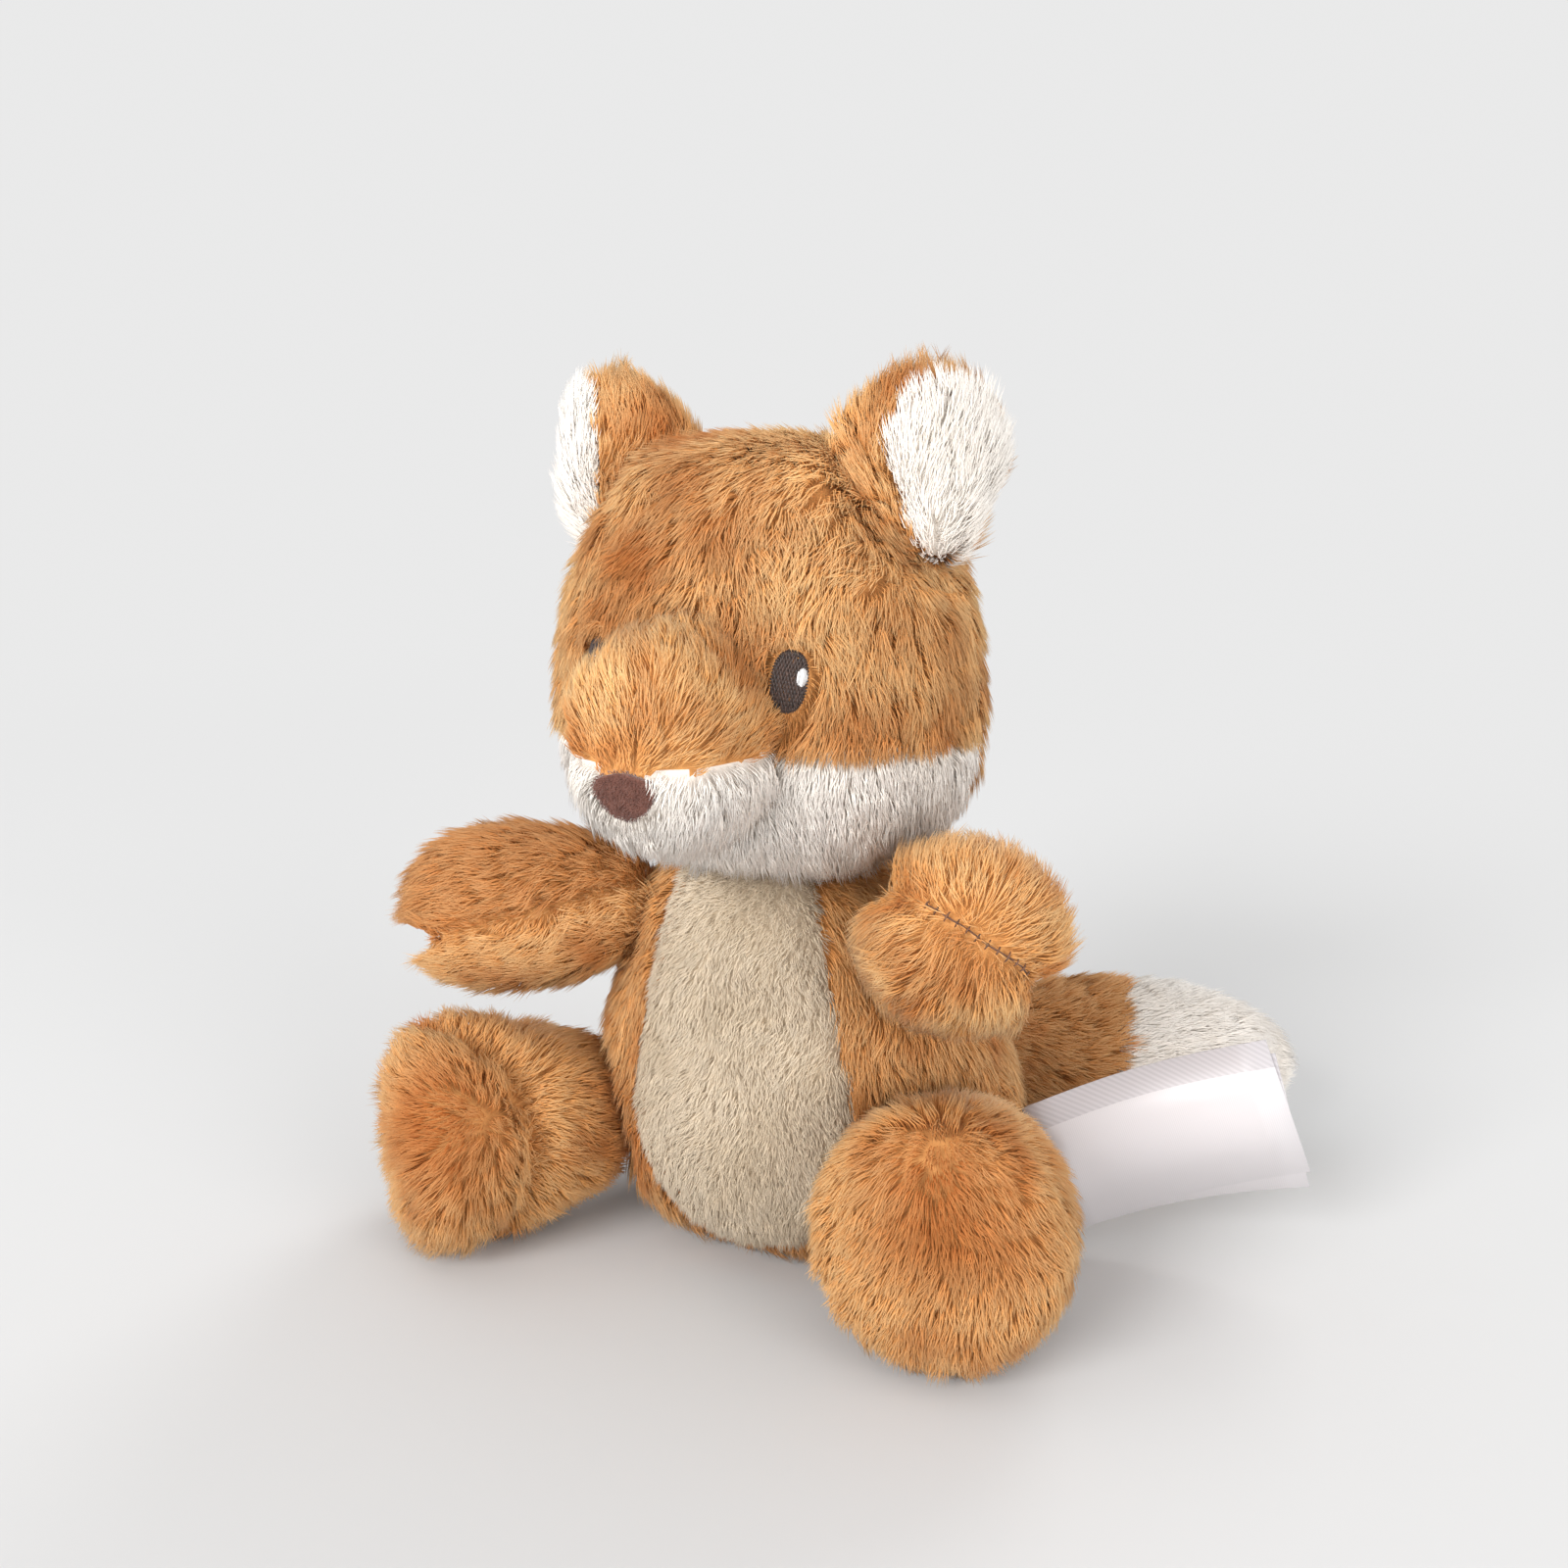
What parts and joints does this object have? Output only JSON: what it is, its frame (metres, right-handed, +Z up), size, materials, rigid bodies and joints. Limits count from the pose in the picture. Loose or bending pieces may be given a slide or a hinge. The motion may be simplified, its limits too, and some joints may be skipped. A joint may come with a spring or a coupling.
{
  "type": "plush fox",
  "caption": "Seated plush fox with a turned head, folding ears, arms and legs that swing, a bushy tail and a blank folded side label.",
  "frame": {"origin": "centre of the seat's flat, on the floor under the body", "axes": "+Z up, -Y the way the fox faces, +X towards the fox's left"},
  "size_m": [0.1806, 0.1495, 0.1753],
  "materials": {
    "orange_pile": "long golden-orange pile, matt",
    "white_pile": "long off-white pile, matt",
    "cream_pile": "short cream pile, matt",
    "nose_suede": "brown suede-like fabric, matt",
    "eye_thread": "dark brown satin-stitch thread",
    "white_thread": "white satin-stitch thread",
    "fibre_filling": "white fibre filling, hidden",
    "label_satin": "white woven satin ribbon"
  },
  "bodies": {
    "body": {"body_side_left": "orange_pile", "body_side_right": "orange_pile", "belly_panel": "cream_pile", "body_stuffing": "fibre_filling"},
    "head": {"face_panel": "orange_pile", "cheek_panel": "white_pile", "head_back_panel": "orange_pile", "head_stuffing": "fibre_filling", "muzzle_top": "orange_pile", "muzzle_underside": "white_pile", "muzzle_stuffing": "fibre_filling", "nose": "nose_suede", "eye_left": "eye_thread", "eye_right": "eye_thread", "eye_glint_left": "white_thread", "eye_glint_right": "white_thread"},
    "ear_left": {"ear_front_left": "white_pile", "ear_back_left": "orange_pile"},
    "ear_right": {"ear_front_right": "white_pile", "ear_back_right": "orange_pile"},
    "arm_left": {"arm_top_left": "orange_pile", "arm_underside_left": "orange_pile", "arm_stuffing_left": "fibre_filling"},
    "arm_right": {"arm_top_right": "orange_pile", "arm_underside_right": "orange_pile", "arm_stuffing_right": "fibre_filling"},
    "leg_left": {"leg_tube_left": "orange_pile", "foot_sole_left": "orange_pile", "leg_stuffing_left": "fibre_filling"},
    "leg_right": {"leg_tube_right": "orange_pile", "foot_sole_right": "orange_pile", "leg_stuffing_right": "fibre_filling"},
    "tail": {"tail_base": "orange_pile", "tail_tip": "white_pile", "tail_stuffing": "fibre_filling"},
    "label": {"label_front_leaf": "label_satin", "label_back_leaf": "label_satin"}
  },
  "joints": [
    {"name": "neck_turn", "type": "hinge", "parent": "body", "child": "head", "pos_m": [-0.004, -0.011, 0.0843], "axis": [0, 0, 1], "range_deg": [-40, 20], "stiffness_Nm_per_rad": 0.04},
    {"name": "ear_fold_left", "type": "hinge", "parent": "head", "child": "ear_left", "pos_m": [0.02751, -0.01257, 0.14841], "axis": [0.5592, 0.829, 0], "range_deg": [-10, 20], "stiffness_Nm_per_rad": 0.04},
    {"name": "ear_fold_right", "type": "hinge", "parent": "head", "child": "ear_right", "pos_m": [-0.03555, -0.01147, 0.14841], "axis": [0.5299, -0.848, 0], "range_deg": [-10, 20], "stiffness_Nm_per_rad": 0.04},
    {"name": "arm_swing_left", "type": "hinge", "parent": "body", "child": "arm_left", "pos_m": [0.03466, -0.01736, 0.069], "axis": [0, 0, 1], "range_deg": [-13, 60], "stiffness_Nm_per_rad": 0.03},
    {"name": "arm_swing_right", "type": "hinge", "parent": "body", "child": "arm_right", "pos_m": [-0.03778, -0.02073, 0.069], "axis": [0, 0, 1], "range_deg": [-33, 42], "stiffness_Nm_per_rad": 0.03},
    {"name": "leg_swing_left", "type": "hinge", "parent": "body", "child": "leg_left", "pos_m": [0.04136, -0.02235, 0.023], "axis": [0, 0, 1], "range_deg": [0, 40], "stiffness_Nm_per_rad": 0.04},
    {"name": "leg_swing_right", "type": "hinge", "parent": "body", "child": "leg_right", "pos_m": [-0.04775, -0.02652, 0.023], "axis": [0, 0, 1], "range_deg": [-10, 44], "stiffness_Nm_per_rad": 0.04},
    {"name": "tail_swing", "type": "hinge", "parent": "body", "child": "tail", "pos_m": [0.02072, 0.04045, 0.0196], "axis": [0, 0, 1], "range_deg": [-20, 30], "stiffness_Nm_per_rad": 0.03},
    {"name": "label_flap", "type": "hinge", "parent": "body", "child": "label", "pos_m": [0.04957, 0.00461, 0.01676], "axis": [0, 0, 1], "range_deg": [-18, 12], "stiffness_Nm_per_rad": 0.002}
  ]
}
